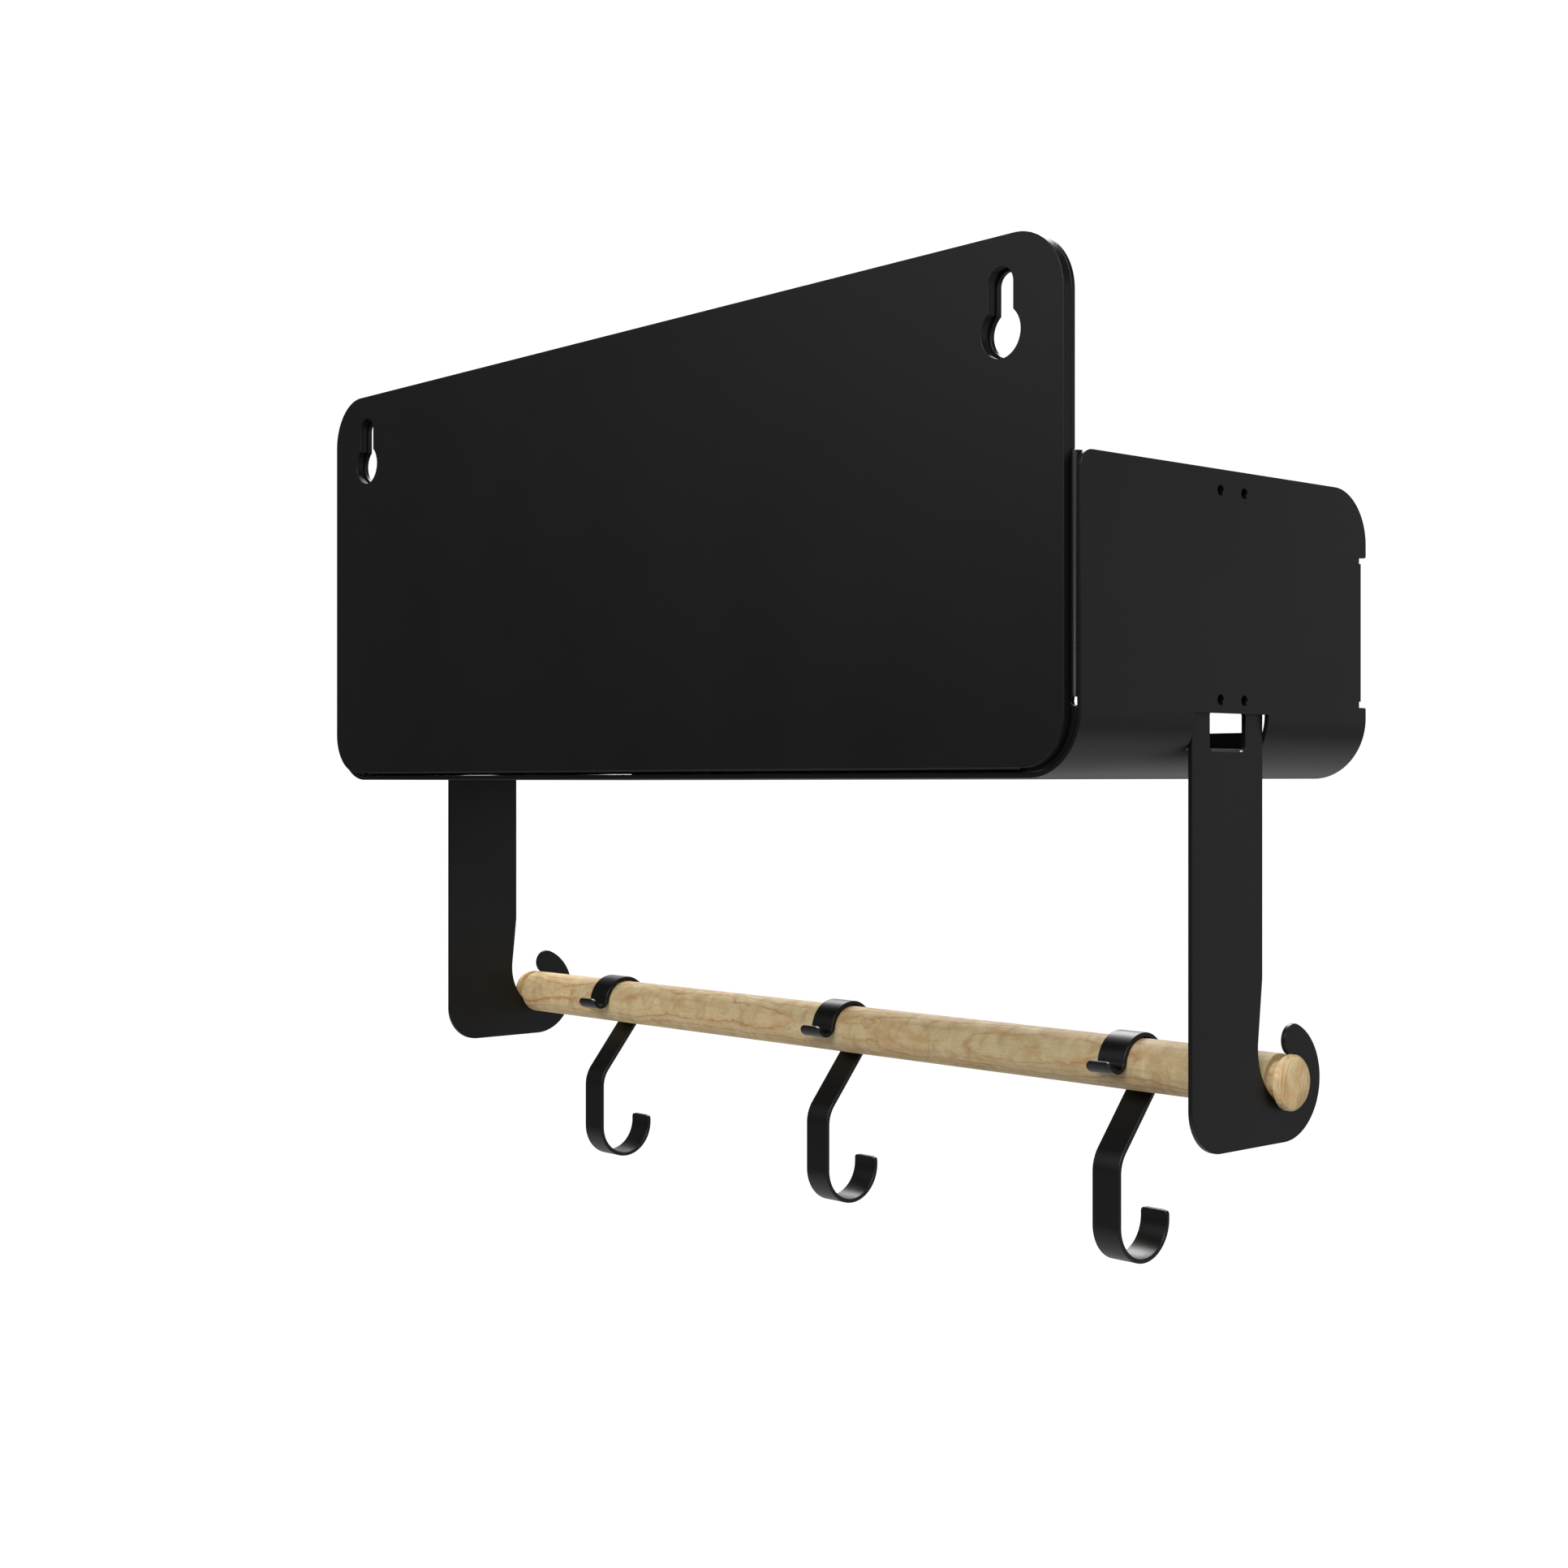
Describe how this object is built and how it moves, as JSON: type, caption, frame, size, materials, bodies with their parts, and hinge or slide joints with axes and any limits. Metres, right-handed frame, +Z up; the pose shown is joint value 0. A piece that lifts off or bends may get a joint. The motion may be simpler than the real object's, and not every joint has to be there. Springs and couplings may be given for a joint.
{
  "type": "wall shelf with hook rail",
  "caption": "Black folded-sheet wall shelf, an open-front box on a taller back panel, with a pale wooden rod on two hanger plates below it and strip hooks that slide on the rod.",
  "frame": {"origin": "on the wall plane, midway between the two hanging screws (the round ends of the keyhole slots)", "axes": "+X along the shelf, +Y into the wall so that the open front faces -Y, +Z up"},
  "size_m": [0.5222, 0.1837, 0.4043],
  "materials": {
    "sheet_steel": "semi-matte black powder coat",
    "backing": "matte black",
    "hook_steel": "satin black",
    "rod_wood": "clear-finished pale maple or pine"
  },
  "bodies": {
    "shelf": {"backing_plate": "backing", "back_panel": "sheet_steel", "box_sheet": "sheet_steel", "hanger_left": "sheet_steel", "hanger_right": "sheet_steel"},
    "rod": {"rod": "rod_wood"},
    "hook_left": {"hook_left": "hook_steel"},
    "hook_middle": {"hook_middle": "hook_steel"},
    "hook_right": {"hook_right": "hook_steel"}
  },
  "joints": [
    {"name": "rod_turns_in_hangers", "type": "hinge", "parent": "shelf", "child": "rod", "pos_m": [0, -0.1304, -0.3028], "axis": [1, 0, 0], "continuous": true},
    {"name": "hook_left_slides_on_rod", "type": "slide", "parent": "rod", "child": "hook_left", "axis": [1, 0, 0], "range_m": [-0.068, 0.0818]},
    {"name": "hook_middle_slides_on_rod", "type": "slide", "parent": "rod", "child": "hook_middle", "axis": [1, 0, 0], "range_m": [-0.0818, 0.0818]},
    {"name": "hook_right_slides_on_rod", "type": "slide", "parent": "rod", "child": "hook_right", "axis": [1, 0, 0], "range_m": [-0.0818, 0.068]}
  ]
}
